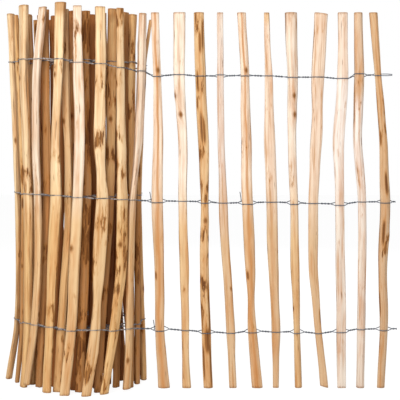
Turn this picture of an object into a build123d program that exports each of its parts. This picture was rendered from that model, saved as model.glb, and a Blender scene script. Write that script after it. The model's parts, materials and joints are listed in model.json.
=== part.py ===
# Hazel picket fence, one metre high, partly unrolled: a standing roll with a straight stretch beside it.
# Cleft hazel pickets are held between pairs of twisted wires at three heights.
# X runs along the stretch to its free end, -Y is its front and Z is up from the ground.
import os
from math import cos, hypot, pi, radians, sin, sqrt

from build123d import *

# Pickets
PICKET_LENGTH = 1005.0
PICKET_WIDTH = 25.0
PICKET_THICKNESS = 16.0
PICKET_PITCH = 61.0

# Heights of the three strands, and how far each has crept up its pickets in the roll
BOTTOM_STRAND = 152.0
MIDDLE_STRAND = 497.0
TOP_STRAND = 834.0
BOTTOM_CREEP = 16.0
MIDDLE_CREEP = 18.0
TOP_CREEP = 36.0
CREEP_PICKETS = 6

# Wire, and the room that it leaves at a picket and at the wire it is twisted with
WIRE_DIAMETER = 2.4
SEAT = 0.25
LENS_OPENING = 9.0
TWIST_LENGTH = 17.0
TWIST_ROOM = 0.6
TWIST_SPREAD = 1.42
TAIL_LENGTH = 27.0

# Ends of wire where a new coil was spliced in: the stretch's picket, counted from 0, and the strand
SPLICES = ((0, BOTTOM_STRAND), (0, MIDDLE_STRAND), (4, MIDDLE_STRAND))
SPLICE_RISE = 22.0
SPLICE_FOOT = 4.0

# Roll: pickets in each turn from the outside in, and the hollow core that they are wound on
OUTER_PICKETS = 19
SECOND_PICKETS = 14
THIRD_PICKETS = 11
INNER_PICKETS = 5
CORE_RADIUS = 72.0
TURN_PITCH = 30.0

# Where the roll starts: its angle from the front, and its place beside and in front of
# the stretch's first picket
START_ANGLE = 51.0
START_REACH = 66.0
START_ADVANCE = 20.0

# Levels of a picket's sections, and what the roll does at each: a twist in degrees and a flare of its radius
LEVELS = (
    0.0,
    BOTTOM_STRAND,
    (BOTTOM_STRAND + MIDDLE_STRAND) / 2,
    MIDDLE_STRAND,
    (MIDDLE_STRAND + TOP_STRAND) / 2,
    TOP_STRAND,
    PICKET_LENGTH,
)
ROLL_TWIST = (-11.0, -7.0, -3.0, 0.0, 0.0, 0.0, 0.0)
ROLL_FLARE = (0.05, 0.0, 0.0, 0.0, 0.02, 0.05, 0.08)

# Outlines of a picket's section, in shares of its width and thickness
CLEFT = (
    (-0.42, -0.5), (0.42, -0.5), (0.5, -0.2), (0.4, 0.22),
    (0.17, 0.5), (-0.17, 0.5), (-0.4, 0.22), (-0.5, -0.2),
)
ROUND = (
    (-0.21, -0.5), (0.21, -0.5), (0.5, -0.2), (0.5, 0.2),
    (0.21, 0.5), (-0.21, 0.5), (-0.5, 0.2), (-0.5, -0.2),
)
SPLIT = ((-0.4, -0.5), (0.4, -0.5), (0.5, 0.1), (0.22, 0.5), (-0.22, 0.5), (-0.5, 0.1))

# Pickets of the stretch, from the roll to the free end: sideways bends in millimetres and widths in
# hundredths of the picket width at each level from foot to head, the section, and its thickness as a
# share of its width
STRETCH = (
    ((17, 6, 5, 0, 2, 0, -6), (128, 100, 112, 124, 108, 84, 92), ROUND, 0.68),
    ((17, 14, 11, 7, 7, -2, -1), (100, 84, 104, 100, 108, 128, 132), CLEFT, 0.72),
    ((14, 8, 3, 5, 1, -7, -11), (100, 100, 100, 88, 116, 116, 116), ROUND, 0.85),
    ((20, 14, 3, -7, -13, -15, -15), (88, 100, 96, 104, 80, 72, 68), CLEFT, 0.66),
    ((25, 11, 5, -3, -7, -10, -20), (116, 100, 112, 120, 112, 92, 96), ROUND, 0.66),
    ((14, 13, 6, 1, -4, -8, -15), (68, 96, 116, 128, 124, 92, 60), CLEFT, 0.55),
    ((15, 9, 4, 0, -7, -6, -11), (76, 68, 96, 84, 88, 108, 128), ROUND, 0.8),
    ((22, 5, -9, -10, -2, 1, 8), (92, 84, 108, 112, 136, 148, 152), CLEFT, 0.6),
    ((8, 6, 3, 0, -4, 6, 5), (96, 104, 104, 104, 128, 124, 112), CLEFT, 0.68),
    ((-3, -1, 0, -1, -14, -11, -15), (88, 92, 88, 84, 96, 108, 96), ROUND, 0.85),
    ((-8, -2, -5, 0, -6, -21, -35), (88, 92, 100, 108, 88, 76, 92), ROUND, 0.7),
)

# Pickets of the roll that show in front: the same, with the step from the last one in shares of the pitch,
# and how far foot, middle and head stand out of the roll
ROLL_FRONT = {
    1: ((4, 9, 1, 0, 21, 27, 29), (88, 80, 80, 84, 96, 96, 88), 0.0, (0, 0, 0)),
    2: ((-23, -6, 4, 0, -5, -9, -13), (104, 116, 128, 128, 112, 96, 80), 0.6, (0, 0, 0)),
    3: ((-9, 0, 0, 0, -6, -4, -6), (108, 116, 128, 136, 124, 110, 108), 0.94, (6, 0, 0)),
    4: ((-2, 1, -1, 0, 7, 5, 4), (116, 112, 116, 116, 114, 110, 92), 1.03, (0, 0, 2)),
    5: ((8, -1, -3, 0, 2, 13, 22), (100, 96, 116, 132, 98, 98, 122), 0.98, (0, 0, 4)),
    6: ((-10, 0, 8, 0, -2, 7, 33), (88, 96, 96, 96, 100, 104, 104), 0.96, (0, 0, 0)),
    7: ((8, 5, 0, -5, -6, -4, 5), (104, 116, 124, 128, 118, 124, 140), 0.72, (0, 0, 0)),
    8: ((0, 2, 0, 0, -3, 0, 4), (80, 88, 88, 80, 84, 88, 80), 0.75, (8, 0, 3)),
    9: ((0, 0, 0, 0, 2, 0, 0), (116, 108, 108, 108, 112, 118, 128), 0.84, (41, 13, 14)),
    16: ((0, 0, 0, 0, 0, 0, 0), (76, 68, 56, 56, 52, 48, 44), 1.0, (2, 14, 50)),
}

# Other pickets of the roll that stand a little to one side of their even place
SIDE_STEPS = {19: 13.0, 20: -7.0, 23: 6.0, 34: 3.0, 36: 4.0}

# Unevenness of the roll's other pickets: sideways bends, width, raised feet and heads
HIDDEN_BEND = 8.0
HIDDEN_WIDTH_CHANGE = 0.14
HIDDEN_FOOT_RISE = 4.0
HIDDEN_HEAD_RISE = 5.0

# Share of a foot's or head's own stand-out that a picket has at each level, the rest being that of its middle
LEAN_SHARES = (1.0, 0.33, 0.0, 0.0, 0.0, 0.33, 1.0)

# Feet that end above the ground and heads above or below the common height
RAISED_FEET = {1: 7.0, 2: 2.0, 5: 3.0, 6: 12.0}
HEAD_RISES = {1: -2.0, 3: 4.0, 4: 5.0, 5: 14.0, 6: 5.0, 7: 16.0, 9: 6.0, 16: 8.0}

# Slanting saw cuts in degrees at the foot and the head of pickets of the stretch, counted from 0
SAW_CUTS = {7: (14.0, 7.0)}

WIRE_RADIUS = WIRE_DIAMETER / 2
QUARTER = pi / 2
ROLL_PICKETS = OUTER_PICKETS + SECOND_PICKETS + THIRD_PICKETS + INNER_PICKETS


def spread(number, salt):
    """A repeatable unevenness between -1 and 1 for one picket."""
    return sin(number * 2.4 + salt * 1.7)


class Picket:
    """One picket: its centre and width at each level, and the direction that its width runs in."""

    def __init__(self, levels, centres, widths, across, outline, thickness):
        self.levels = levels
        self.centres = centres
        self.widths = widths
        self.across = across
        self.outline = outline
        self.thickness = thickness

    def at(self, height):
        """Centre and width at a height, which run straight between two levels."""
        for low, high, start, end, narrow, wide in zip(
            self.levels, self.levels[1:], self.centres, self.centres[1:], self.widths, self.widths[1:]
        ):
            if height <= high:
                break
        share = (height - low) / (high - low)
        centre = tuple(a + (b - a) * share for a, b in zip(start, end))
        return centre, narrow + (wide - narrow) * share

    def corners(self, height):
        """The section's corners on the plan at a height."""
        (x, y), width = self.at(height)
        along, deep = self.across
        corners = []
        for u, v in self.outline:
            u *= width
            v *= width * self.thickness
            corners.append((x + u * along - v * deep, y + u * deep + v * along))
        return corners

    def solid(self):
        """The picket lofted through its sections with straight sides between them."""
        sections = []
        for height in self.levels:
            corners = [(x, y, height) for x, y in self.corners(height)]
            sections.append(Wire.make_polygon([Vector(*corner) for corner in corners], close=True))
        return Solid.make_loft(sections, ruled=True)


def stretch_picket(number):
    """A picket of the unrolled stretch, numbered from the roll."""
    bends, widths, outline, thickness = STRETCH[number]
    place = number * PICKET_PITCH
    centres = [(place + bend, 0.0) for bend in bends]
    widths = [width * PICKET_WIDTH / 100 for width in widths]
    return Picket(LEVELS, centres, widths, (1.0, 0.0), outline, thickness)


def saw_cut(solid, picket, foot_slant, head_slant):
    """A picket with its foot and head sawn off at a slant, each from its longer edge."""
    for level, slant, keep in ((0, foot_slant, Keep.TOP), (-1, head_slant, Keep.BOTTOM)):
        (x, y), width = picket.centres[level], picket.widths[level]
        lean = radians(slant)
        edge = x + width / 2 if level == 0 else x - width / 2
        cut = Plane(origin=(edge, y, picket.levels[level]), z_dir=(sin(lean), 0.0, cos(lean)))
        solid = split(solid, cut, keep=keep).solid()
    return solid


def roll_steps():
    """The step from each picket of the roll to the next, along the strands."""
    shares = [ROLL_FRONT[number][2] if number in ROLL_FRONT else 1.0 for number in range(1, ROLL_PICKETS + 1)]
    return [share * PICKET_PITCH for share in shares]


def roll_radius():
    """The outer radius that the roll's length winds up to, round its core."""
    return sqrt(CORE_RADIUS ** 2 + sum(roll_steps()) * TURN_PITCH / pi)


def roll_centre():
    """The roll's axis on the plan, set by where its first picket stands."""
    start = radians(START_ANGLE)
    return -START_REACH - roll_radius() * sin(start), -START_ADVANCE + roll_radius() * cos(start)


def roll_places():
    """The angle of each picket round the roll, in radians from its front, with the radius there."""
    turned = 0.0
    radius = roll_radius()
    places = []
    for step in roll_steps():
        turned += step / radius
        radius = roll_radius() - TURN_PITCH * turned / (2 * pi)
        places.append((radians(START_ANGLE) - turned, radius))
    return places


def roll_picket(number, angle, radius):
    """A picket of the roll, numbered inwards, at its angle and radius."""
    outer = number <= OUTER_PICKETS
    if number in ROLL_FRONT:
        bends, widths, _, (foot_out, middle_out, head_out) = ROLL_FRONT[number]
        chosen = range(len(LEVELS))
        outline = ROUND if number % 2 else CLEFT
    else:
        bends = [HIDDEN_BEND * spread(number, level) for level in range(len(LEVELS))]
        widths = [100 * (1 + HIDDEN_WIDTH_CHANGE * spread(number, level / 2)) for level in range(len(LEVELS))]
        foot_out = middle_out = head_out = 0.0
        chosen = (0, 3, 5, 6) if outer else (0, 3, 6)
        outline = (CLEFT, ROUND)[number % 2] if outer else SPLIT
    middle = len(LEVELS) // 2
    ends = [foot_out if level < middle else head_out for level in range(len(LEVELS))]
    leans = [middle_out + share * (end - middle_out) for share, end in zip(LEAN_SHARES, ends)]
    sideways = SIDE_STEPS.get(number, 0.0)
    axis_x, axis_y = roll_centre()
    centres = []
    for level in chosen:
        turn = angle + radians(ROLL_TWIST[level]) + (bends[level] + sideways) / radius
        out = radius * (1 + ROLL_FLARE[level]) + leans[level]
        centres.append((axis_x + out * sin(turn), axis_y - out * cos(turn)))
    heights = [LEVELS[level] for level in chosen]
    heights[0] += RAISED_FEET.get(number, HIDDEN_FOOT_RISE * max(0.0, spread(number, 5)))
    heights[-1] += HEAD_RISES.get(number, HIDDEN_HEAD_RISE * spread(number, 6))
    facing = angle + radians(ROLL_TWIST[1]) / 2
    widths = [widths[level] * PICKET_WIDTH / 100 for level in chosen]
    thickness = PICKET_THICKNESS / PICKET_WIDTH
    return Picket(heights, centres, widths, (cos(facing), sin(facing)), outline, thickness)


def directions(pickets, height):
    """For each picket at a height, the fence's direction on the plan from the free end inwards."""
    centres = [picket.at(height)[0] for picket in pickets]
    last = len(centres) - 1
    found = []
    for index in range(len(centres)):
        x0, y0 = centres[max(index - 1, 0)]
        x1, y1 = centres[min(index + 1, last)]
        length = hypot(x1 - x0, y1 - y0)
        found.append(((x1 - x0) / length, (y1 - y0) / length))
    return found


def supports(picket, height, direction, side):
    """Where a wire starts and ends its way over one side of a picket."""
    along_x, along_y = direction
    side_x, side_y = side * along_y, -side * along_x
    (x, y), _ = picket.at(height)
    reach = half = 0.0
    for level in (height - WIRE_RADIUS, height + WIRE_RADIUS):
        for corner_x, corner_y in picket.corners(level):
            reach = max(reach, (corner_x - x) * side_x + (corner_y - y) * side_y)
            half = max(half, abs((corner_x - x) * along_x + (corner_y - y) * along_y))
    out = reach + WIRE_RADIUS + SEAT
    half += WIRE_RADIUS
    middle = (x + out * side_x, y + out * side_y)
    before = (middle[0] - half * along_x, middle[1] - half * along_y, height)
    after = (middle[0] + half * along_x, middle[1] + half * along_y, height)
    return before, after


def twist(start, end, first_quarter):
    """A wire's way round its pair in a gap, from one quarter turn to the next."""
    middle = [(a + b) / 2 for a, b in zip(start, end)]
    length = hypot(end[0] - start[0], end[1] - start[1])
    along = [(b - a) / length for a, b in zip(start[:2], end[:2])]
    room = min(TWIST_LENGTH, length * TWIST_ROOM)
    radius = (WIRE_DIAMETER + SEAT) / 2 * TWIST_SPREAD
    points = []
    for step in range(5):
        angle = (first_quarter + step) * QUARTER
        way = room * (step / 4 - 0.5)
        side = radius * cos(angle)
        points.append((
            middle[0] + way * along[0] + side * along[1],
            middle[1] + way * along[1] - side * along[0],
            middle[2] + radius * sin(angle),
        ))
    return points


def wire_route(pickets, roll_from, height, creep, partner):
    """The route of one wire of a pair from the free end to the roll's core, its partner on the other side."""
    routes = []
    crossing = WIRE_RADIUS + SEAT
    for index, picket in enumerate(pickets):
        inwards = index - roll_from + 1
        rise = creep * min(1.0, max(0, inwards) / CREEP_PICKETS)
        side = (1 if index % 2 == 0 else -1) * partner
        if inwards > 0:
            offset = -crossing * partner
        else:
            offset = -side * LENS_OPENING / 2 if index % 2 == 0 else 0.0
        level = height + rise + offset
        direction = directions(pickets, level)[index]
        routes.append((supports(picket, level, direction, side), side, direction))
    return routes


def wire_points(pickets, roll_from, height, creep, partner):
    """All corners of one wire, with its twists in the stretch and its crossings in the roll."""
    routes = wire_route(pickets, roll_from, height, creep, partner)
    other = wire_route(pickets, roll_from, height, creep, -partner)
    (before, _), side, direction = routes[0]
    tail_side = WIRE_RADIUS + SEAT / 2
    tail_start = [(a + b) / 2 for a, b in zip(before, other[0][0][0])]
    reach = LENS_OPENING
    points = []
    for way in (reach + TAIL_LENGTH, reach):
        points.append((
            tail_start[0] - way * direction[0] + tail_side * side * direction[1],
            tail_start[1] - way * direction[1] - tail_side * side * direction[0],
            tail_start[2],
        ))
    for index, ((before, after), side, direction) in enumerate(routes):
        points += [before, after]
        if index + 1 < roll_from:
            start = [(a + b) / 2 for a, b in zip(after, other[index][0][1])]
            end = [(a + b) / 2 for a, b in zip(routes[index + 1][0][0], other[index + 1][0][0])]
            points += twist(start, end, 1 if side > 0 else 3)
    return points


def tube(points, radius):
    """A wire of square section with mitred corners along a route."""
    points = [Vector(*point) for point in points]
    ways = [(end - start).normalized() for start, end in zip(points, points[1:])]
    first = Plane(origin=points[0], z_dir=ways[0])
    ring = []
    for corner in range(4):
        out = first.x_dir * cos(corner * QUARTER) + first.y_dir * sin(corner * QUARTER)
        ring.append(points[0] + out * radius)
    rings = [ring]
    for index in range(1, len(points)):
        way = ways[index - 1]
        normal = way + ways[index] if index < len(ways) else way
        ring = [corner + way * ((points[index] - corner).dot(normal) / way.dot(normal)) for corner in ring]
        rings.append(ring)
    faces = [Face(Wire.make_polygon(ring, close=True)) for ring in (rings[0], rings[-1])]
    for start, end in zip(rings, rings[1:]):
        for corner in range(4):
            following = (corner + 1) % 4
            quad = [start[corner], start[following], end[following], end[corner]]
            faces.append(Face(Wire.make_polygon(quad, close=True)))
    return Solid(Shell(faces))


def splice_tail(picket, height):
    """The end of a spliced wire, which comes out of the strand and stands up against a picket's edge."""
    heights = (height, height + SPLICE_RISE)
    edge = min(x for level in heights for x, _ in picket.corners(level)) - WIRE_RADIUS - SEAT
    y = picket.at(height)[0][1]
    foot = (edge - SPLICE_FOOT, y, heights[0])
    bend = (edge, y, heights[0])
    tip = (edge, y, heights[1])
    return tube([foot, bend, tip], WIRE_RADIUS)


def roll_node(number):
    """The name of the node that a picket of the roll belongs to."""
    if number <= OUTER_PICKETS:
        return f"outer_turn_picket_{number:02d}"
    number -= OUTER_PICKETS
    if number <= SECOND_PICKETS:
        return f"second_turn_picket_{number:02d}"
    return "third_turn_pickets" if number <= SECOND_PICKETS + THIRD_PICKETS else "inner_turn_pickets"


stretch = [stretch_picket(number) for number in range(len(STRETCH))]
roll = [roll_picket(number, *place) for number, place in enumerate(roll_places(), 1)]
fence = stretch[::-1] + roll

parts = {}
for number, picket in enumerate(stretch):
    solid = picket.solid()
    if number in SAW_CUTS:
        solid = saw_cut(solid, picket, *SAW_CUTS[number])
    parts[f"stretch_picket_{number + 1:02d}"] = [solid]
for number, picket in enumerate(roll, 1):
    parts.setdefault(roll_node(number), []).append(picket.solid())

strands = (
    ("bottom", BOTTOM_STRAND, BOTTOM_CREEP),
    ("middle", MIDDLE_STRAND, MIDDLE_CREEP),
    ("top", TOP_STRAND, TOP_CREEP),
)
for name, height, creep in strands:
    for letter, partner in (("a", 1), ("b", -1)):
        points = wire_points(fence, len(stretch), height, creep, partner)
        parts[f"{name}_wire_{letter}"] = [tube(points, WIRE_RADIUS)]
parts["splice_tails"] = [splice_tail(stretch[number], height) for number, height in SPLICES]

# The whole fence is centred over the origin with its lowest feet on the ground
boxes = [solid.bounding_box() for solids in parts.values() for solid in solids]
left, right = min(box.min.X for box in boxes), max(box.max.X for box in boxes)
front, back = min(box.min.Y for box in boxes), max(box.max.Y for box in boxes)
centre = Vector(-(left + right) / 2, -(front + back) / 2, -min(box.min.Z for box in boxes))

os.makedirs("parts", exist_ok=True)
for name, solids in parts.items():
    moved = [solid.moved(Location(centre)) for solid in solids]
    export_step(moved[0] if len(moved) == 1 else Compound(moved), f"parts/{name}.step")
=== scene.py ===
# Hazel picket fence, partly unrolled: peeled rods with grain, knots and bark, and strands of twisted wire.
import functools
import json
import math

import bmesh
import bpy
from bpy.props import FloatProperty, FloatVectorProperty, IntProperty, PointerProperty
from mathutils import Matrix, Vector, noise


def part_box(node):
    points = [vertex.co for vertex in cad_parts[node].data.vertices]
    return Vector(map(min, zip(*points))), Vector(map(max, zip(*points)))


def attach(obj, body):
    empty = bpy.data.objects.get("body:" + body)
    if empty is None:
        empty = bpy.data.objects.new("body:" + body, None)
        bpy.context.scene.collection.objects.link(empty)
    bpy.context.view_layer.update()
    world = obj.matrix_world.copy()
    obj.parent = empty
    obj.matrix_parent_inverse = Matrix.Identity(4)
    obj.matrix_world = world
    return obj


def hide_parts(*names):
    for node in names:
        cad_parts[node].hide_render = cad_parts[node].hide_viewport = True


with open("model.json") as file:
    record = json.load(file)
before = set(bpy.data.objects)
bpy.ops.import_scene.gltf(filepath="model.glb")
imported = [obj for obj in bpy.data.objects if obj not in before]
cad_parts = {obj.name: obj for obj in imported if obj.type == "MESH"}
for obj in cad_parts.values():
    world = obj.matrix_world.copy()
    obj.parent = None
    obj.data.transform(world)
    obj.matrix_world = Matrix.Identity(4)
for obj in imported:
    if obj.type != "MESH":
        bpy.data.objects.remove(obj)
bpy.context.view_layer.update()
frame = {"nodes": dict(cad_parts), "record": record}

bl_info = {
    "name": "Hazel Picket Fence",
    "version": (1, 0, 0),
    "blender": (4, 5, 0),
    "location": "3D View > Sidebar > Hazel Fence",
    "description": "Builds a hazel picket fence, partly unrolled, with its wires and a studio stage",
    "category": "Add Mesh",
}

# Strands, in metres: height in the stretch, how far each creeps up over the roll's first pickets,
# and the place of its tip
STRANDS = {"bottom": (0.152, 0.016, 0.531), "middle": (0.497, 0.018, 0.524), "top": (0.834, 0.036, 0.513)}
LOOPED_STRAND = "top"
CREEP_PICKETS = 6
STRETCH_COUNT = 11
OUTER_COUNT = 19
SECOND_COUNT = 14

# How far each strand runs above its height, in thousandths of a metre: at the stretch's pickets from the
# roll outwards, and at the roll's pickets inwards, where the last value holds for all others
STRAND_DRIFTS = {
    "bottom": (8.0, 4.0, 0.0, -3.0, 2.0, -0.5, 0.5, -4.0, 2.5, 7.0, 8.0),
    "middle": (7.5, 7.0, 5.5, 2.0, 3.0, 4.5, 3.0, 1.0, -0.5, 5.0, 5.5),
    "top": (4.0, 6.5, 4.0, 3.5, 5.0, 3.5, 0.5, 0.0, -3.5, 5.5, 6.5),
}
ROLL_DRIFTS = {
    "bottom": (10.0, 10.0, 10.0, 8.0, 10.0, 10.0, 8.0, 3.0, 4.0, 0.0, -4.0, 0.0),
    "middle": (7.0, 9.0, 8.0, 10.0, 10.0, 10.0, 8.0, 8.0, 9.5, 7.0, 8.0, 4.0),
    "top": (9.0, 10.0, 10.0, 9.0, 10.0, 8.5, 9.0, 8.0, 9.0, 8.0, 7.0, 4.0),
}

# How wide each pair opens round the stretch's pickets, in shares of the lens. Below zero the wire in
# front is the upper one.
STRAND_OPENINGS = {
    "bottom": (1.2, 0.0, 0.7, 0.0, 0.9, 0.0, 1.0, 0.0, 0.8, 0.0, 0.9),
    "middle": (0.9, 0.0, 0.8, 0.0, 0.9, 0.0, 1.0, 0.0, 0.8, 0.0, 0.7),
    "top": (0.5, 0.0, 0.3, -0.6, 0.4, 0.0, 0.3, 0.0, 0.0, -0.7, 0.5),
}

# Turns from straight out, in degrees, at which a wire's way over a rod has its points, and how many
# points of the rod's section it looks at
WRAP_TURNS = (-64, -32, 0, 32, 64)
WRAP_POINTS = 32

# Twists: the radius in shares of the wire's, and the steps in a half twist
TWIST_REACH = 1.03
TWIST_STEPS = 5

# How far the foot and the bent tip of a spliced wire stand above its solid, as its strand does
SPLICE_FOOT = 0.005
SPLICE_TIP = 0.010

# A sawn end: how far its slant reaches along the rod, and its width inside the worn edge
END_REACH = 0.03
END_SHARE = 0.93

# A knot's length in shares of its width, and how many of its radii the figure round it runs up and down
KNOT_LENGTH = 1.5
FIGURE_REACH = 7

# Corners within this height of each other belong to one section of a rod
SECTION_SPAN = 0.02
SECTION_CORNERS = 5

# Wood colours of lower halves, which are warm, and of upper halves, which are paler: that paleness is painted
# light from above, over the wood's own tone
SAND = (0.74, 0.49, 0.28)
TAN = (0.79, 0.54, 0.29)
BUFF = (0.71, 0.49, 0.29)
GREYED = (0.64, 0.44, 0.27)
PEACH = (0.96, 0.78, 0.60)
MILK = (0.97, 0.85, 0.70)
ROSE = (0.80, 0.68, 0.585)
HAZE = (0.89, 0.71, 0.55)
ASH = (0.86, 0.75, 0.635)
BLUSH = (0.955, 0.855, 0.765)
CHALK = (0.92, 0.77, 0.60)
GOLD = (0.80, 0.52, 0.24)
CREAM = (0.93, 0.70, 0.42)
BROWN = (0.49, 0.255, 0.10)
UMBER = (0.25, 0.10, 0.03)

# Looks of the stretch's pickets from the roll outwards: colours below and above, the upper one mostly paler
# with painted light, shares of bark and of pith
STRETCH_LOOKS = (
    (SAND, PEACH, 0.05, 1.0),
    (TAN, MILK, 0.03, 0.25),
    (TAN, TAN, 0.52, 0.5),
    (BUFF, ROSE, 0.10, 0.1),
    (SAND, PEACH, 0.06, 1.0),
    (BUFF, HAZE, 0.06, 0.2),
    (TAN, MILK, 0.05, 0.2),
    (BUFF, HAZE, 0.08, 0.15),
    (ASH, BLUSH, 0.02, 0.1),
    (ASH, BLUSH, 0.0, 0.1),
    (GREYED, BUFF, 0.30, 0.2),
)

# Duller heads of some of them: from which height up, and their colour
STRETCH_HEADS = {4: (0.93, ASH), 6: (0.967, TAN), 9: (0.82, HAZE), 10: (0.77, BUFF)}

# Looks of the roll's pickets that show in front, by their order inwards; their upper colours are mostly paler
# with painted light
ROLL_LOOKS = {
    1: (TAN, PEACH, 0.22, 0.3),
    2: (GOLD, CREAM, 0.50, 0.2),
    3: (TAN, CREAM, 0.58, 0.1),
    4: (TAN, CHALK, 0.05, 0.1),
    5: (GOLD, CREAM, 0.25, 0.2),
    6: (TAN, CHALK, 0.05, 0.3),
    7: (GOLD, CREAM, 0.20, 0.5),
    8: (BROWN, GOLD, 0.5, 0.0),
    9: (TAN, CREAM, 0.15, 0.3),
    16: (GOLD, CREAM, 0.9, 0.0),
    17: (GOLD, TAN, 0.4, 0.0),
    18: (BROWN, GOLD, 0.6, 0.0),
    19: (BROWN, GOLD, 0.5, 0.0),
    # From 20 on they stand in the second turn, whose darker browns are partly bark and partly painted shade
    20: (BROWN, GOLD, 0.45, 0.0),
    21: (BROWN, BROWN, 0.95, 0.0),
    22: (GOLD, TAN, 0.3, 0.0),
    23: (BROWN, BROWN, 0.6, 0.0),
    24: (GOLD, TAN, 0.3, 0.2),
}
# Colours below and above of the other rods, the upper ones mostly paler with painted light
ROLL_TONES = ((GOLD, CREAM), (TAN, CREAM), (BROWN, GOLD), (TAN, CHALK), (GOLD, TAN))
# The inner turns' darker browns are partly bark and partly painted shade
CORE_TONES = ((BROWN, BROWN), (UMBER, BROWN), (BROWN, GOLD))

# The roll's hidden turns: how much painted shade darkens the second and the inner ones, and how coarse the
# inner ones are built
SECOND_SHADE = 0.16
CORE_SHADE = 0.75
CORE_SIDES = 14
CORE_RING_STEP = 0.03

# How much of a rod's share of bark its finish shows
BARK_GAINS = {"peeled_hazel": 1.0, "barked_hazel": 1.1}

# Height at which the colours change to the upper ones, paler with painted light, over how much, and the same
# for duller heads with their share
TONE_AND_LIGHT_CHANGE = 0.50
TONE_AND_LIGHT_BLEND = 0.16
HEAD_BLEND = 0.02
HEAD_SHARE = 0.75
HEAD_LENGTH = 0.04

# Wire that is rubbed bright, and lighter, browner wire over the roll, a painted reflection of its wood, which
# starts this far to its side
BRIGHT_ZINC = (0.40, 0.42, 0.46, 1.0)
ROLL_ZINC = (0.42, 0.36, 0.32, 1.0)
ROLL_SIDE = (0.16, 0.19)

# Studio, in metres: the floor's reach, the softboxes' size and places, and what they aim at
FLOOR_REACH = 12.0
SOFTBOX_SIZE = (2.2, 1.8)
FRONT_SOFTBOX = (-0.9, -2.9, 2.1)
BACK_SOFTBOX = (0.9, 2.9, 2.1)
SOFTBOX_AIM = Vector((-0.05, 0.0, 0.5))
SENSOR_WIDTH = 36.0
CAMERA_REACH = 60.0

# Knots of the stretch's pickets: picket, height and turn from the front in degrees
STRETCH_KNOTS = (
    (1, 0.852, 15),
    (5, 0.852, 20),
    (2, 0.785, -50),
    (2, 0.735, -5),
    (7, 0.785, 20),
    (7, 0.735, 30),
    (3, 0.452, 10),
    (11, 0.408, 104),
)

# Dark marks of the stretch's pickets: picket, height, turn from the front in degrees, half length and width
STRETCH_MARKS = (
    (1, 0.306, -42, 0.011, 0.0036),
    (3, 0.990, -38, 0.020, 0.0036),
    (3, 0.945, 38, 0.042, 0.0034),
    (3, 0.925, 4, 0.030, 0.0028),
    (3, 0.822, -38, 0.028, 0.0036),
    (3, 0.765, -50, 0.018, 0.0026),
    (3, 0.700, -12, 0.046, 0.0034),
    (3, 0.690, 16, 0.036, 0.0026),
    (3, 0.202, 55, 0.066, 0.0028),
    (3, 0.130, 16, 0.034, 0.0085),
    (3, 0.070, -48, 0.050, 0.0028),
    (3, 0.060, 52, 0.060, 0.0034),
    (4, 0.269, 35, 0.005, 0.0025),
    (4, 0.560, -60, 0.030, 0.0015),
    (5, 0.306, -38, 0.012, 0.0036),
    (8, 0.191, 52, 0.022, 0.0040),
    (10, 0.760, -72, 0.060, 0.0024),
    (11, 0.672, -50, 0.020, 0.0030),
    (11, 0.552, 15, 0.032, 0.0042),
    (11, 0.420, -12, 0.036, 0.0042),
    (11, 0.228, -62, 0.036, 0.0028),
    (11, 0.120, -70, 0.020, 0.0020),
)


class RodSettings(bpy.types.PropertyGroup):
    """Sizes of the pickets' surfaces."""

    sides: IntProperty(name="Sides", description="Sides of a picket that shows", default=28, min=8)
    ring_step: FloatProperty(name="Ring step", description="Between rings", default=0.010, unit="LENGTH")
    lump: FloatProperty(name="Lumps", description="Height of slow lumps", default=0.0013, unit="LENGTH")
    ridge: FloatProperty(name="Ridges", description="Height of cleft ridges", default=0.0014, unit="LENGTH")
    roundness: FloatProperty(name="Roundness", description="Share of roundness", default=0.16, min=0, max=1)
    wander: FloatProperty(name="Wander", description="Bends between levels", default=0.0016, unit="LENGTH")
    knot_height: FloatProperty(name="Knot height", description="Knot swell", default=0.0016, unit="LENGTH")
    knot_size: FloatProperty(name="Knot size", description="Radius of a knot", default=0.0055, unit="LENGTH")
    chamfer: FloatProperty(name="Chamfer", description="Worn edge of an end", default=0.0012, unit="LENGTH")


class FinishSettings(bpy.types.PropertyGroup):
    """Colours of wood, bark and wire."""

    bark: FloatVectorProperty(
        name="Bark", description="Bark left on rods", subtype="COLOR", size=3, default=(0.11, 0.034, 0.010)
    )
    # The rind colour also gives the painted shade of the roll's hidden turns and of the pickets' side faces
    rind: FloatVectorProperty(
        name="Rind", description="Inner bark round patches and on round sides", subtype="COLOR", size=3,
        default=(0.50, 0.215, 0.055),
    )
    pith: FloatVectorProperty(
        name="Pith streak", description="Orange streak along a cleft face", subtype="COLOR", size=3,
        default=(0.56, 0.235, 0.07),
    )
    end_grain: FloatVectorProperty(
        name="End grain", description="Sawn ends", subtype="COLOR", size=3, default=(0.46, 0.26, 0.11)
    )
    zinc: FloatVectorProperty(
        name="Zinc", description="Galvanised wire", subtype="COLOR", size=3, default=(0.14, 0.155, 0.19)
    )


class WireSettings(bpy.types.PropertyGroup):
    """Sizes of the wires."""

    diameter: FloatProperty(name="Diameter", description="Wire diameter", default=0.0024, unit="LENGTH")
    gap: FloatProperty(name="Gap", description="Room under a wire", default=0.00015, unit="LENGTH")
    lens: FloatProperty(name="Lens", description="Opening of a pair", default=0.009, unit="LENGTH")
    taper: FloatProperty(name="Taper", description="Where a pair closes", default=0.013, unit="LENGTH")
    half_twists: IntProperty(name="Half twists", description="Half twists in a gap, odd", default=3)


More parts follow.
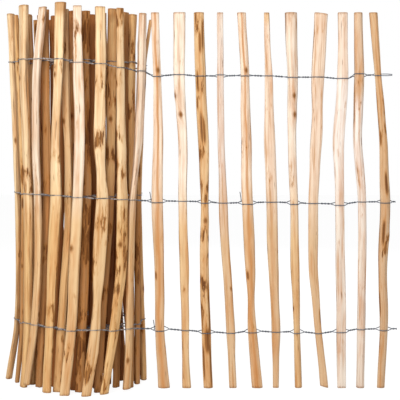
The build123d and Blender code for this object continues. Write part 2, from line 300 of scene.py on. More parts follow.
class StageSettings(bpy.types.PropertyGroup):
    """Camera and light of the studio."""

    distance: FloatProperty(name="Distance", description="Camera to the stretch", default=2.8, unit="LENGTH")
    centre_x: FloatProperty(name="Centre X", description="Middle of the view", default=0.0, unit="LENGTH")
    centre_z: FloatProperty(name="Centre Z", description="Middle of the view", default=0.507, unit="LENGTH")
    rise: FloatProperty(name="Rise", description="Camera above the middle", default=0.134, unit="LENGTH")
    view_width: FloatProperty(name="View width", description="Width in view", default=1.0696, unit="LENGTH")
    key: FloatProperty(name="Key light", description="Power of the front light", default=92.0, unit="POWER")
    back: FloatProperty(
        name="Back light", description="Share of the key light", default=0.45, subtype="FACTOR", min=0, max=1
    )
    fill: FloatProperty(
        name="Sky light", description="Light from all round", default=0.42, subtype="FACTOR", min=0, max=1
    )


def hermite(levels, values, height):
    """A smooth value at a height, through the values at a rod's levels."""
    last = len(levels) - 1
    index = 0
    while index < last - 1 and height > levels[index + 1]:
        index += 1
    low, high = levels[index], levels[index + 1]
    span = high - low
    share = min(1.0, max(0.0, (height - low) / span))

    def slope(at):
        before, after = max(at - 1, 0), min(at + 1, last)
        return (values[after] - values[before]) / (levels[after] - levels[before])

    s2, s3 = share * share, share * share * share
    return (
        (2 * s3 - 3 * s2 + 1) * values[index]
        + (s3 - 2 * s2 + share) * span * slope(index)
        + (3 * s2 - 2 * s3) * values[index + 1]
        + (s3 - s2) * span * slope(index + 1)
    )


def islands(node):
    """The separate solids of a node, as lists of their corners."""
    bm = bmesh.new()
    bm.from_mesh(frame["nodes"][node].data)
    bmesh.ops.remove_doubles(bm, verts=bm.verts, dist=1e-6)
    seen = set()
    found = []
    for start in bm.verts:
        if start in seen:
            continue
        seen.add(start)
        group, border = [], [start]
        while border:
            vert = border.pop()
            group.append(vert.co.copy())
            for edge in vert.link_edges:
                other = edge.other_vert(vert)
                if other not in seen:
                    seen.add(other)
                    border.append(other)
        found.append(group)
    bm.free()
    return found


def sections(corners):
    """A rod's corners in groups of like height, from foot to head, without stray points of its edges."""
    groups = []
    for corner in sorted(corners, key=lambda corner: corner.z):
        if groups and corner.z - groups[-1][0].z < SECTION_SPAN:
            groups[-1].append(corner)
        else:
            groups.append([corner])
    return [group for group in groups if len(group) >= SECTION_CORNERS]


def turn_between(angle, other):
    """The turn from one angle to another, the short way round."""
    return (angle - other + math.pi) % (2 * math.pi) - math.pi


def blend(start, end, share):
    """A colour between two others."""
    return tuple(a + (b - a) * share for a, b in zip(start, end))


def flat_way(corners):
    """The direction of a section's longer side, from the turn in which its box is smallest."""
    flat = [corner.to_2d() for corner in corners]
    best = None
    for step in range(180):
        way = Vector((math.cos(math.radians(step)), math.sin(math.radians(step))))
        deep = Vector((-way.y, way.x))
        wide = max(p.dot(way) for p in flat) - min(p.dot(way) for p in flat)
        thick = max(p.dot(deep) for p in flat) - min(p.dot(deep) for p in flat)
        if best is None or wide * thick < best[0]:
            best = (wide * thick, way if wide > thick else deep)
    return best[1]


class Rod:
    """One picket with its line, section and surface, all read from its solid."""

    def __init__(self, corners, inwards, settings):
        self.seed = 0
        self.settings = settings
        self.sides = settings.sides
        self.ring_step = settings.ring_step
        self.knots = []
        self.marks = []
        self.bark = self.pith = self.shade = 0.0
        self.low = self.high = TAN
        self.head = None
        groups = sections(corners)
        middle = groups[len(groups) // 2]
        self.across = flat_way(middle)
        if Vector((-self.across.y, self.across.x)).dot(inwards(middle[0])) < 0:
            self.across = -self.across
        deep = Vector((-self.across.y, self.across.x))
        self.levels = [group[0].z for group in groups[:-1]] + [groups[-1][-1].z]
        self.lines = {"x": [], "y": [], "half": [], "deep": []}
        for group in groups:
            us = [corner.to_2d().dot(self.across) for corner in group]
            vs = [corner.to_2d().dot(deep) for corner in group]
            place = self.across * (min(us) + max(us)) / 2 + deep * (min(vs) + max(vs)) / 2
            self.lines["x"].append(place.x)
            self.lines["y"].append(place.y)
            self.lines["half"].append((max(us) - min(us)) / 2)
            self.lines["deep"].append((max(vs) - min(vs)) / 2)
        self.outline = self.shares(middle, deep)
        self.slants = [self.slant(groups[0], 1), self.slant(groups[-1], -1)]

    def shares(self, group, deep):
        """The middle section's corners in shares of its half width and depth, in order round it."""
        at = len(self.levels) // 2
        place = Vector((self.lines["x"][at], self.lines["y"][at]))
        corners = []
        for corner in group:
            out = corner.to_2d() - place
            u, v = out.dot(self.across), out.dot(deep)
            corners.append(Vector((u / self.lines["half"][at], v / self.lines["deep"][at])))
        return sorted(corners, key=lambda corner: math.atan2(corner.y, corner.x))

    def slant(self, group, way):
        """How steeply a sawn end rises along the rod's width."""
        left = min(group, key=lambda corner: corner.to_2d().dot(self.across))
        right = max(group, key=lambda corner: corner.to_2d().dot(self.across))
        span = (right - left).to_2d().length
        return way * (right.z - left.z) / span

    def section(self, angle):
        """The section's reach at an angle, in shares of its half width and depth."""
        way = Vector((math.cos(angle), math.sin(angle)))
        reach = 1.0
        for start, end in zip(self.outline, self.outline[1:] + self.outline[:1]):
            edge = end - start
            cross = way.x * edge.y - way.y * edge.x
            if abs(cross) < 1e-9:
                continue
            along = (start.x * edge.y - start.y * edge.x) / cross
            share = (start.x * way.y - start.y * way.x) / cross
            if along > 0 and -1e-6 <= share <= 1 + 1e-6:
                reach = along
        return reach + (1.0 - reach) * self.settings.roundness

    def centre(self, height):
        """The rod's middle at a height."""
        x = hermite(self.levels, self.lines["x"], height)
        y = hermite(self.levels, self.lines["y"], height)
        bend = noise.noise(Vector((self.seed * 7.3, 0.0, height * 7.0))) * self.settings.wander
        return Vector((x, y)) + self.across * bend

    def surface(self, height, angle):
        """A point of the surface, with its straightened place on the rod and its marks."""
        half = hermite(self.levels, self.lines["half"], height)
        deep = hermite(self.levels, self.lines["deep"], height)
        c, s = math.cos(angle), math.sin(angle)
        reach = self.section(angle)
        u = half * reach * c
        v = deep * reach * s
        seed = self.seed * 3.7
        slow = noise.noise(Vector((c * 1.1 + seed, s * 1.1, height * 11.0)))
        ridge = noise.noise(Vector((c * 4.0 + seed, s * 4.0, height * 2.2 + seed)))
        swell = slow * self.settings.lump + ridge * self.settings.ridge - self.settings.lump * 0.4
        knot = figure = mark = 0.0
        size = self.settings.knot_size
        for knot_height, knot_angle, rise in self.knots:
            side = turn_between(angle, knot_angle) * half
            drop = knot_height - height
            far = math.hypot(drop / KNOT_LENGTH, side) / size
            knot = max(knot, math.exp(-far * far))
            swell += rise * math.exp(-far * far / 6)
            arm = (abs(side) - 0.25 * abs(drop)) / (0.35 * size)
            if abs(drop) < FIGURE_REACH * size:
                figure = max(figure, math.exp(-arm * arm) * (1 - abs(drop) / (FIGURE_REACH * size)))
        for mark_height, mark_angle, length, width in self.marks:
            side = turn_between(angle, mark_angle) * half / width
            away = (height - mark_height) / length
            mark = max(mark, math.exp(-side * side - away * away * away * away))
        length = math.hypot(u, v)
        spread = 1 + swell / length
        across = self.across
        middle = self.centre(height)
        x = middle.x + (u * across.x - v * across.y) * spread
        y = middle.y + (u * across.y + v * across.x) * spread
        return Vector((x, y, height)), Vector((u, v, height)), Vector((knot, figure, mark))

    def heights(self):
        """Heights of the rings, closer at the ends and at knots."""
        low, high = self.levels[0], self.levels[-1]
        chamfer = self.settings.chamfer
        count = max(8, round((high - low) / self.ring_step))
        rings = [low, low + chamfer] + [low + (high - low) * k / count for k in range(1, count)]
        rings += [high - chamfer, high]
        for knot_height, _, _ in self.knots:
            reach = KNOT_LENGTH * self.settings.knot_size
            rings += [knot_height + way * reach for way in (-1.0, -0.5, 0.0, 0.5, 1.0)]
        rings = sorted(rings)
        kept = rings[:2]
        for height in rings[2:-2]:
            if height - kept[-1] > 0.0015:
                kept.append(height)
        return kept + rings[-2:]

    def skin(self):
        """The rod's skin as a mesh of its own, from a unit cylinder whose rings are moved to their place."""
        heights = self.heights()
        last = len(heights) - 1
        bm = bmesh.new()
        place = bm.verts.layers.float_vector.new("rod_place")
        face_place = bm.verts.layers.float_vector.new("rod_face")
        tone = bm.verts.layers.float_color.new("rod_tone_and_light")
        look = bm.verts.layers.float_vector.new("rod_look")
        marks = bm.verts.layers.float_vector.new("rod_marks")
        near_end = bm.verts.layers.float.new("rod_end")
        bmesh.ops.create_cone(bm, cap_ends=True, segments=self.sides, radius1=1.0, radius2=1.0, depth=1.0)
        upright = [edge for edge in bm.edges if abs(edge.verts[0].co.z - edge.verts[1].co.z) > 0.5]
        bmesh.ops.subdivide_edges(bm, edges=upright, cuts=last - 1)
        poked = bmesh.ops.poke(bm, faces=[face for face in bm.faces if len(face.verts) == self.sides])
        hubs = set(poked["verts"])
        for vert in bm.verts:
            step = round((vert.co.z + 0.5) * last)
            height = heights[step]
            angle = math.atan2(vert.co.y, vert.co.x)
            point, spot, found = self.surface(height, angle)
            middle = self.centre(height)
            if vert in hubs:
                point.xy = middle
                spot.xy = (0.0, 0.0)
            elif step in (0, last):
                point.xy = middle + (point.xy - middle) * END_SHARE
            point.z += self.end_lift(height, spot.x)
            vert.co = point
            vert[place] = Vector((spot.x + self.seed * 0.37, spot.y + self.seed * 0.11, height))
            vert[face_place] = Vector((spot.x, math.sin(angle), height))
            vert[tone] = (*self.tone(height), 1.0)
            vert[look] = Vector((self.bark, self.pith, self.shade))
            vert[marks] = found
            vert[near_end] = 1.0 if step in (0, 1, last - 1, last) else 0.0
        for face in bm.faces:
            face.smooth = len(face.verts) == 4
            face.material_index = 0 if face.smooth else 1
        return bm

    def tone(self, height):
        """The wood's colour at a height, between its lower and upper colours, the upper ones mostly paler
        with painted light from above.
        """
        share = (height - TONE_AND_LIGHT_CHANGE) / TONE_AND_LIGHT_BLEND + 0.5
        share = min(1.0, max(0.0, share + 0.25 * noise.noise(Vector((self.seed * 5.1, 1.0, height * 6.0)))))
        colour = blend(self.low, self.high, share)
        if self.head:
            start, dull = self.head
            share = HEAD_SHARE * min(1.0, max(0.0, (height - start) / HEAD_BLEND))
            colour = blend(colour, dull, share)
        return colour

    def end_lift(self, height, across):
        """How far a sawn end's slant moves a point up or down."""
        low, high = self.levels[0] + END_REACH, self.levels[-1] - END_REACH
        low_slant, high_slant = self.slants
        if height < low:
            lift = low_slant * across + abs(low_slant) * self.lines["half"][0]
            return max(0.0, lift) * (low - height) / END_REACH
        if height > high:
            lift = high_slant * across + abs(high_slant) * self.lines["half"][-1]
            return -max(0.0, lift) * (height - high) / END_REACH
        return 0.0


def add_object(name, data):
    """A new object in the scene."""
    holder = bpy.data.objects.new(name, data)
    bpy.context.scene.collection.objects.link(holder)
    return holder


def mesh_object(name, bm):
    """A new object with a finished mesh."""
    mesh = bpy.data.meshes.new(name)
    bm.to_mesh(mesh)
    bm.free()
    return add_object(name, mesh)


def rods_mesh(name, rods):
    """A piece with the skins of some rods, with their attributes for the materials."""
    bm = bmesh.new()
    for rod in rods:
        part = rod.skin()
        carrier = bpy.data.meshes.new("rod_carrier")
        part.to_mesh(carrier)
        part.free()
        bm.from_mesh(carrier)
        bpy.data.meshes.remove(carrier)
    bmesh.ops.recalc_face_normals(bm, faces=bm.faces)
    return mesh_object(name, bm)


@functools.cache
def fence_rods():
    """All rods of the fence by node, in order from the free end to the roll's core, read once."""
    settings = bpy.context.scene.hazel_rods
    stretch = [f"stretch_picket_{number:02d}" for number in range(STRETCH_COUNT, 0, -1)]
    outer = sorted(node for node in frame["nodes"] if node.startswith("outer_turn"))
    second = sorted(node for node in frame["nodes"] if node.startswith("second_turn"))
    core = [corner for group in islands("inner_turn_pickets") for corner in group]
    axis = sum((corner.to_2d() for corner in core), Vector((0.0, 0.0))) / len(core)

    def read(node, inwards):
        return [(node, Rod(corners, inwards, settings)) for corners in islands(node)]

    found = []
    for node in stretch:
        found += read(node, lambda corner: Vector((0.0, 1.0)))
    rolled = []
    for node in outer + second + ["third_turn_pickets", "inner_turn_pickets"]:
        rolled += read(node, lambda corner: axis - corner.to_2d())
    single = [pair for pair in rolled if not pair[0].endswith("pickets")]
    grouped = [pair for pair in rolled if pair[0].endswith("pickets")]
    found += single + sort_inwards(grouped, single[-1][1], axis)
    for index, (node, rod) in enumerate(found):
        rod.seed = index + 1
        if index < STRETCH_COUNT:
            dress_stretch_rod(STRETCH_COUNT - index, rod)
        else:
            dress_roll_rod(index - STRETCH_COUNT + 1, rod)
    return found


def sort_inwards(pairs, start, axis):
    """Puts the rods of the inner turns in the fence's order, each next to the last one round the axis."""
    ordered = []
    left = list(pairs)

    def polar(rod):
        way = rod.centre(0.5) - axis
        return math.atan2(way.x, -way.y), way.length

    angle, radius = polar(start)
    while left:
        def ahead(pair):
            other, far = polar(pair[1])
            turn = (angle - other) % (2 * math.pi)
            return turn + abs(radius - far) * 60.0

        pick = min(left, key=ahead)
        left.remove(pick)
        ordered.append(pick)
        angle, radius = polar(pick[1])
    return ordered


def dress_stretch_rod(number, rod):
    """Gives a rod of the stretch its colours, knots and marks."""
    rod.low, rod.high, rod.bark, rod.pith = STRETCH_LOOKS[number - 1]
    rod.head = STRETCH_HEADS.get(number)
    rise = rod.settings.knot_height
    for picket, height, turn in STRETCH_KNOTS:
        if picket == number:
            rod.knots.append((height, math.radians(turn - 90), rise))
    for picket, height, turn, length, width in STRETCH_MARKS:
        if picket == number:
            rod.marks.append((height, math.radians(turn - 90), length, width))


def dress_roll_rod(number, rod):
    """Gives a rod of the roll its colours, knots and fineness, with painted shade that is the darker the
    deeper it stands.
    """
    shade = math.sin(number * 2.4)
    if number in ROLL_LOOKS:
        rod.low, rod.high, rod.bark, rod.pith = ROLL_LOOKS[number]
    elif number <= OUTER_COUNT:
        rod.low, rod.high = ROLL_TONES[number % len(ROLL_TONES)]
        rod.bark, rod.pith = 0.4 + 0.2 * shade, 0.2
    else:
        rod.low, rod.high = CORE_TONES[number % len(CORE_TONES)]
        rod.bark = 0.5 + 0.2 * shade
    if number > OUTER_COUNT:
        rod.shade = SECOND_SHADE
    if number > OUTER_COUNT + SECOND_COUNT:
        rod.shade = CORE_SHADE
        rod.sides = CORE_SIDES
        rod.ring_step = CORE_RING_STEP
    if number % 3 == 2:
        rod.head = (rod.levels[-1] - HEAD_LENGTH, BROWN)
    for count in range(2):
        height = 0.5 + 0.42 * math.sin(number * 1.7 + count * 2.9)
        rod.knots.append((height, number * 2.1 + count * 2.0, rod.settings.knot_height))


class NodeTree:
    """Short calls for adding and linking shader nodes."""

    def __init__(self, tree):
        self.tree = tree
        self.nodes = tree.nodes

    def feed(self, node, inputs):
        """Links or sets some inputs of a node."""
        for socket, value in inputs.items():
            if isinstance(value, bpy.types.NodeSocket):
                self.tree.links.new(value, node.inputs[socket])
            else:
                node.inputs[socket].default_value = value

    def add(self, kind, inputs=None, **values):
        node = self.nodes.new(kind)
        for name, value in values.items():
            setattr(node, name, value)
        self.feed(node, inputs or {})
        return node

    def attribute(self, name, output="Vector"):
        return self.add("ShaderNodeAttribute", attribute_name=name).outputs[output]

    def parts(self, vector):
        return self.add("ShaderNodeSeparateXYZ", {0: vector}).outputs

    def math(self, operation, a, b=0.0):
        return self.add("ShaderNodeMath", {0: a, 1: b}, operation=operation).outputs[0]

    def plus(self, a, b):
        return self.math("ADD", a, b)

    def less(self, a, b):
        return self.math("SUBTRACT", a, b)

    def times(self, a, b):
        return self.math("MULTIPLY", a, b)

    def ramp(self, fac, low, high):
        return self.add("ShaderNodeMapRange", {0: fac, 1: low, 2: high}, clamp=True).outputs[0]

    def mix(self, fac, a, b, blend="MIX"):
        return self.add("ShaderNodeMix", {0: fac, 6: a, 7: b}, data_type="RGBA", blend_type=blend).outputs[2]

    def stretched(self, place, scale):
        return self.add("ShaderNodeMapping", {"Vector": place, "Scale": scale}).outputs[0]

    def noise(self, vector, scale, detail, roughness=0.55):
        inputs = {"Vector": vector, "Scale": scale, "Detail": detail, "Roughness": roughness}
        return self.add("ShaderNodeTexNoise", inputs).outputs[0]

    def grain(self, place, length, scale, detail, roughness=0.55):
        """Noise that is drawn out along a rod."""
        return self.noise(self.stretched(place, (1.0, 1.0, length)), scale, detail, roughness)

    def bump(self, shader, height, strength, distance):
        """Gives a shader a fine relief."""
        relief = self.add("ShaderNodeBump", {"Height": height, "Strength": strength, "Distance": distance})
        self.feed(shader, {"Normal": relief.outputs[0]})

    def seen(self):
        """One where the eye, a mirror or clear stuff looks, and zero for the light that is given off."""
        path = self.add("ShaderNodeLightPath").outputs
        seen = self.math("MAXIMUM", path["Is Camera Ray"], path["Is Glossy Ray"])
        return self.math("MAXIMUM", seen, path["Is Transmission Ray"])


def new_material(name):
    """An empty material with its tree and shader."""
    material = bpy.data.materials.new(name)
    material.use_nodes = True
    kit = NodeTree(material.node_tree)
    return material, kit, kit.nodes["Principled BSDF"]


def new_group(name, inputs, outputs):
    """An empty shader group with named sockets."""
    tree = bpy.data.node_groups.new(name, "ShaderNodeTree")
    for label, kind in inputs:
        tree.interface.new_socket(name=label, in_out="INPUT", socket_type=kind)
    for label, kind in outputs:
        tree.interface.new_socket(name=label, in_out="OUTPUT", socket_type=kind)
    kit = NodeTree(tree)
    return kit, kit.add("NodeGroupInput"), kit.add("NodeGroupOutput")


def grain_group():
    """Long grain of peeled wood: broad streaks, fine fibres, dark lines and small checks."""
    kit, source, result = new_group(
        "Hazel grain",
        (("Place", "NodeSocketVector"),),
        tuple((name, "NodeSocketFloat") for name in ("Streak", "Fibre", "Line", "Check")),
    )
    place = source.outputs["Place"]
    streak = kit.grain(place, 0.06, 110.0, 3.0)
    fibre = kit.grain(place, 0.035, 420.0, 3.0, 0.6)
    line = kit.grain(place, 0.025, 210.0, 2.0)
    check = kit.grain(place, 0.05, 260.0, 2.0)
    kit.feed(result, {
        "Streak": kit.ramp(streak, 0.38, 0.62),
        "Fibre": kit.ramp(fibre, 0.35, 0.65),
        "Line": kit.ramp(line, 0.56, 0.68),
        "Check": kit.ramp(check, 0.69, 0.75),
    })
    return kit.tree


def bark_group():
    """Bark left in upright patches: where it still sticks, and the rind that shows round it."""
    kit, source, result = new_group(
        "Bark patches",
        (("Place", "NodeSocketVector"), ("Amount", "NodeSocketFloat")),
        (("Bark", "NodeSocketFloat"), ("Rind", "NodeSocketFloat")),
    )
    place = source.outputs["Place"]
    flake = kit.ramp(kit.grain(place, 0.18, 110.0, 4.0, 0.62), 0.3, 0.7)
    cover = kit.ramp(kit.noise(kit.stretched(place, (0.5, 0.5, 0.5)), 24.0, 1.0), 0.3, 0.7)
    both = kit.plus(kit.times(flake, 0.5), kit.times(cover, 0.5))
    over = kit.less(both, kit.less(0.89, kit.times(source.outputs["Amount"], 0.34)))
    kit.feed(result, {"Bark": kit.ramp(over, 0.0, 0.05), "Rind": kit.ramp(over, -0.13, 0.01)})
    return kit.tree


def wood_material(name, bark_gain):
    """Peeled hazel with grain, a pith streak, knots, bark left in patches, a browner round side and darker
    side edges that are partly painted shade, and painted shade on the roll's hidden turns.
    """
    finish = bpy.context.scene.hazel_finish
    material, kit, shader = new_material(name)
    bark_colour, rind_and_shade_colour, pith_colour = ((*tone, 1.0) for tone in (finish.bark, finish.rind, finish.pith))
    place = kit.attribute("rod_place")
    face = kit.attribute("rod_face")
    tone = kit.attribute("rod_tone_and_light", "Color")
    look = kit.attribute("rod_look")
    marks = kit.attribute("rod_marks")
    bark_share, pith_share, shade = kit.parts(look)
    knot, figure, mark = kit.parts(marks)
    end = kit.attribute("rod_end", "Fac")
    sideways, turned, height = kit.parts(face)
    grain = shared_group("Hazel grain", grain_group)
    streak, fibre, line, check = kit.add("ShaderNodeGroup", {"Place": place}, node_tree=grain).outputs

    clouds = kit.grain(place, 0.3, 30.0, 2.0)
    deeper = kit.mix(0.62, tone, pith_colour)
    streaked = kit.mix(kit.times(streak, kit.ramp(clouds, 0.3, 0.6)), tone, deeper)
    lined = kit.mix(kit.times(line, 0.6), streaked, rind_and_shade_colour)

    drift = kit.times(kit.less(kit.noise(kit.stretched(place, (0, 0, 1)), 7.0, 1.0), 0.5), 0.02)
    off = kit.math("ABSOLUTE", kit.less(sideways, drift))
    wide = kit.less(0.0095, kit.times(kit.ramp(height, 0.35, 0.60), 0.0045))
    band = kit.less(1.0, kit.ramp(off, 0.0008, wide))
    front = kit.less(1.0, kit.ramp(turned, -0.5, 0.1))
    pith = kit.times(kit.times(band, front), kit.times(pith_share, 0.75))
    pithed = kit.mix(pith, lined, pith_colour)

    # Browner towards the round side: rind on the bark side, and painted shade on the side faces seen from the
    # front
    ragged = kit.plus(turned, kit.times(kit.less(streak, 0.5), 0.5))
    round_side = kit.ramp(ragged, -0.35, 0.45)
    sided = kit.mix(kit.times(round_side, 0.45), pithed, rind_and_shade_colour)
    # Darker strips along the sides: bark left on the edges, and painted shade of the rounding
    rim = kit.times(kit.ramp(ragged, -0.32, -0.05), kit.less(1.0, kit.ramp(ragged, 0.1, 0.4)))
    strips = kit.ramp(kit.grain(place, 0.1, 60.0, 2.0), 0.45, 0.58)
    edged = kit.mix(kit.times(rim, kit.times(strips, 0.6)), sided, bark_colour)
    fine = kit.mix(kit.times(fibre, 0.16), edged, kit.mix(0.5, edged, bark_colour))

    amount = kit.plus(kit.times(bark_share, bark_gain), kit.times(round_side, 0.22))
    patches = shared_group("Bark patches", bark_group)
    bark, rind = kit.add("ShaderNodeGroup", {"Place": place, "Amount": amount}, node_tree=patches).outputs
    rinded = kit.mix(kit.times(rind, 0.65), fine, rind_and_shade_colour)
    torn = kit.mix(kit.ramp(fibre, 0.2, 0.9), bark_colour, kit.mix(0.75, bark_colour, rind_and_shade_colour))
    barked = kit.mix(kit.times(bark, 0.92), rinded, torn)

    figured = kit.mix(kit.times(figure, 0.75), barked, pith_colour)
    haloed = kit.mix(kit.times(kit.ramp(mark, 0.03, 0.4), 0.7), figured, rind_and_shade_colour)
    dark_mark = kit.ramp(kit.plus(mark, kit.times(fibre, 0.3)), 0.45, 0.85)
    dark = kit.times(kit.math("MAXIMUM", dark_mark, check), 0.88)
    marked = kit.mix(dark, haloed, kit.mix(0.45, torn, bark_colour))
    knotted = kit.mix(kit.ramp(knot, 0.15, 0.8), marked, kit.mix(0.4, bark_colour, rind_and_shade_colour))
    worn = kit.times(kit.ramp(kit.plus(end, kit.times(fibre, 0.5)), 0.7, 1.3), 0.6)
    knotted = kit.mix(worn, knotted, kit.mix(0.5, bark_colour, rind_and_shade_colour))
    # Painted shade of the roll's hidden turns: the colour is multiplied by the rind colour
    shadowed = kit.mix(kit.times(shade, 0.8), knotted, kit.mix(1.0, knotted, rind_and_shade_colour, "MULTIPLY"))

    rough = kit.plus(kit.plus(0.66, kit.times(fibre, 0.12)), kit.times(bark, 0.12))
    kit.feed(shader, {"Base Color": shadowed, "Roughness": rough, "Specular IOR Level": 0.12})
    raised = kit.plus(kit.times(fibre, 0.35), kit.times(streak, 0.4))
    raised = kit.plus(raised, kit.times(bark, 1.2))
    raised = kit.less(raised, kit.times(kit.plus(check, line), 0.7))
    kit.bump(shader, raised, 0.6, 0.0007)
    return material


def end_material():
    """Sawn ends with growth rings, saw lines and a brown rim."""
    finish = bpy.context.scene.hazel_finish
    material, kit, shader = new_material("sawn_end_grain")
    place = kit.attribute("rod_place")
    tone = kit.attribute("rod_tone_and_light", "Color")
    cloud = kit.noise(place, 190.0, 4.0)
    lines = kit.noise(kit.stretched(place, (0.08, 1.0, 1.0)), 900.0, 2.0)
    browned = kit.mix(kit.ramp(cloud, 0.3, 0.7), tone, (*finish.end_grain, 1.0))
    sawn = kit.mix(kit.times(kit.ramp(lines, 0.45, 0.7), 0.35), browned, (*finish.bark, 1.0))
    kit.feed(shader, {"Base Color": sawn, "Roughness": 0.82, "Specular IOR Level": 0.2})
    kit.bump(shader, lines, 0.4, 0.0005)
    return material


def wire_material():
    """Dull zinc with brighter rubbed spots, and a painted reflection of the wood that makes it browner and
    lighter round the roll.
    """
    finish = bpy.context.scene.hazel_finish
    material, kit, shader = new_material("dull_zinc")
    place = kit.add("ShaderNodeTexCoord").outputs["Object"]
    cloud = kit.noise(place, 140.0, 3.0)
    spangle = kit.noise(place, 900.0, 2.0)
    dull = tuple(channel * 0.45 for channel in finish.zinc)
    zinc = kit.mix(kit.ramp(cloud, 0.35, 0.65), (*dull, 1.0), (*finish.zinc, 1.0))
    zinc = kit.mix(kit.times(kit.ramp(spangle, 0.5, 0.75), 0.4), zinc, BRIGHT_ZINC)
    # Painted reflection of the roll's wood on the wires that run over it
    inwards = kit.times(kit.parts(place)[0], -1.0)
    zinc = kit.mix(kit.times(kit.ramp(inwards, *ROLL_SIDE), kit.ramp(cloud, 0.40, 0.60)), zinc, ROLL_ZINC)
    rough = kit.plus(0.34, kit.times(cloud, 0.3))
    kit.feed(shader, {"Base Color": zinc, "Roughness": rough, "Metallic": 0.6})
    kit.bump(shader, spangle, 0.25, 0.0002)
    return material


def shared(name, make):
    """A material that is made once."""
    return bpy.data.materials.get(name) or make()


def shared_group(name, make):
    """A shader group that is made once."""
    return bpy.data.node_groups.get(name) or make()


def put_in_place(piece, node, materials):
    """Gives a finished piece its materials and the place of its node."""
    for material in materials:
        piece.data.materials.append(material)
    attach(piece, "root")
    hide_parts(node)


def slot_of(node):
    """The record's material slot of a node."""
    return next(part["material_slot"] for part in frame["record"]["subparts"] if part["node"] == node)


def build_pickets(start):
    """Dresses every picket node whose name starts as given."""
    by_node = {}
    for node, rod in fence_rods():
        by_node.setdefault(node, []).append(rod)
    chosen = [node for node in by_node if node.startswith(start)]
    if not chosen:
        raise RuntimeError(f"no picket node starts with {start}")
    for node in chosen:
        slot = slot_of(node)
        wood = shared(f"{slot}_grain", lambda: wood_material(f"{slot}_grain", BARK_GAINS[slot]))
        piece = rods_mesh(f"hazel_{node}", by_node[node])
        put_in_place(piece, node, (wood, shared("sawn_end_grain", end_material)))


def strand_level(index, name):
    """The height of a strand at a picket."""
    height, creep, _ = STRANDS[name]
    inwards = index - STRETCH_COUNT + 1
    if inwards <= 0:
        return height + STRAND_DRIFTS[name][-inwards] / 1000
    drifts = ROLL_DRIFTS[name]
    return height + creep * min(1.0, inwards / CREEP_PICKETS) + drifts[min(inwards, len(drifts)) - 1] / 1000


def strand_opening(index, name):
    """How wide a pair opens round a picket, in shares of the lens."""
    return STRAND_OPENINGS[name][STRETCH_COUNT - 1 - index] if index < STRETCH_COUNT else 0.0


def wrap(rod, height, along, out, settings):
    """A wire's way over one side of a rod, held off its surface by its radius."""
    radius = settings.diameter / 2 + settings.gap
    ring = [rod.surface(height, 2 * math.pi * step / WRAP_POINTS)[0].xy for step in range(WRAP_POINTS)]
    points = []
    for turn in WRAP_TURNS:
        way = out * math.cos(math.radians(turn)) + along * math.sin(math.radians(turn))
        touch = max(ring, key=lambda point: point.dot(way))
        middle = rod.centre(height)
        reach = (touch - middle).dot(way) + radius
        slide = Vector((-way.y, way.x))
        point = middle + way * reach + slide * (touch - middle).dot(slide)
        points.append(Vector((point.x, point.y, height)))
    return points


def strand_paths(name):
    """The two wires of a strand, from the free end to the roll's core, as lists of points."""
    settings = bpy.context.scene.hazel_wires
    fence = [rod for _, rod in fence_rods()]
    centres = [rod.centre(strand_level(index, name)) for index, rod in enumerate(fence)]
    last = len(fence) - 1
    paths = {1: [], -1: []}
    sides = []
    for index, rod in enumerate(fence):
        along = (centres[min(index + 1, last)] - centres[max(index - 1, 0)]).normalized()
        outwards = Vector((along.y, -along.x))
        height = strand_level(index, name)
        opened = strand_opening(index, name)
        row = {}
        for partner in (1, -1):
            side = partner if index % 2 == 0 else -partner
            lift = side * opened * settings.lens / 2
            if index >= STRETCH_COUNT:
                lift = partner * settings.diameter / 2
            row[partner] = (wrap(rod, height + lift, along, outwards * side, settings), side)
        sides.append((row, along, opened))
    for index, (row, _, _) in enumerate(sides):
        for partner in (1, -1):
            paths[partner] += row[partner][0]
        if index < last:
            add_twist(paths, sides[index], sides[index + 1], settings)
    for partner in (1, -1):
        paths[partner] = tail(sides[0], partner, name, settings) + paths[partner]
    return paths


def add_twist(paths, here, there, settings):
    """Twists both wires round each other in the gap between two rods."""
    row, _, opened = here
    next_row, _, next_opened = there
    start = (row[1][0][-1] + row[-1][0][-1]) / 2
    end = (next_row[1][0][0] + next_row[-1][0][0]) / 2
    way = end - start
    room = way.length
    along = way.normalized()
    across = Vector((along.y, -along.x, 0.0)).normalized()
    up = Vector((0.0, 0.0, 1.0))
    lead_in = min(room * 0.3, settings.taper if opened else settings.taper * 0.4)
    lead_out = min(room * 0.3, settings.taper if next_opened else settings.taper * 0.4)
    turns = settings.half_twists if room > 0.02 else 1
    steps = turns * TWIST_STEPS
    radius = settings.diameter / 2 * TWIST_REACH
    for partner in (1, -1):
        side = row[partner][1]
        for step in range(steps + 1):
            share = step / steps
            angle = math.pi * turns * share + (0.0 if side > 0 else math.pi)
            spot = start + along * (lead_in + (room - lead_in - lead_out) * share)
            paths[partner].append(spot + across * radius * math.cos(angle) + up * radius * math.sin(angle))


def tail(first, partner, name, settings):
    """The free end of a wire past the last picket, twisted with its pair or bent back to it."""
    row, along, _ = first
    begin = row[partner][0][0]
    start = (row[1][0][0] + row[-1][0][0]) / 2
    room = STRANDS[name][2] - settings.diameter / 2 - start.x
    back = Vector((-along.x, -along.y, 0.0))
    across = Vector((along.y, -along.x, 0.0))
    up = Vector((0.0, 0.0, 1.0))
    side = row[partner][1]
    radius = settings.diameter / 2 * TWIST_REACH
    tip = start + back * room
    if name == LOOPED_STRAND:
        return [begin.lerp(tip, share) + up * radius * side for share in (1.0, 0.85, 0.5)]
    closed = min(settings.taper, room * 0.45)
    points = []
    for step in range(7):
        share = step / 6
        angle = 1.5 * math.pi * share + (0.0 if side > 0 else math.pi)
        spot = start + back * (closed + (room - closed) * share)
        points.append(spot + across * radius * math.cos(angle) + up * radius * math.sin(angle))
    return points[::-1]


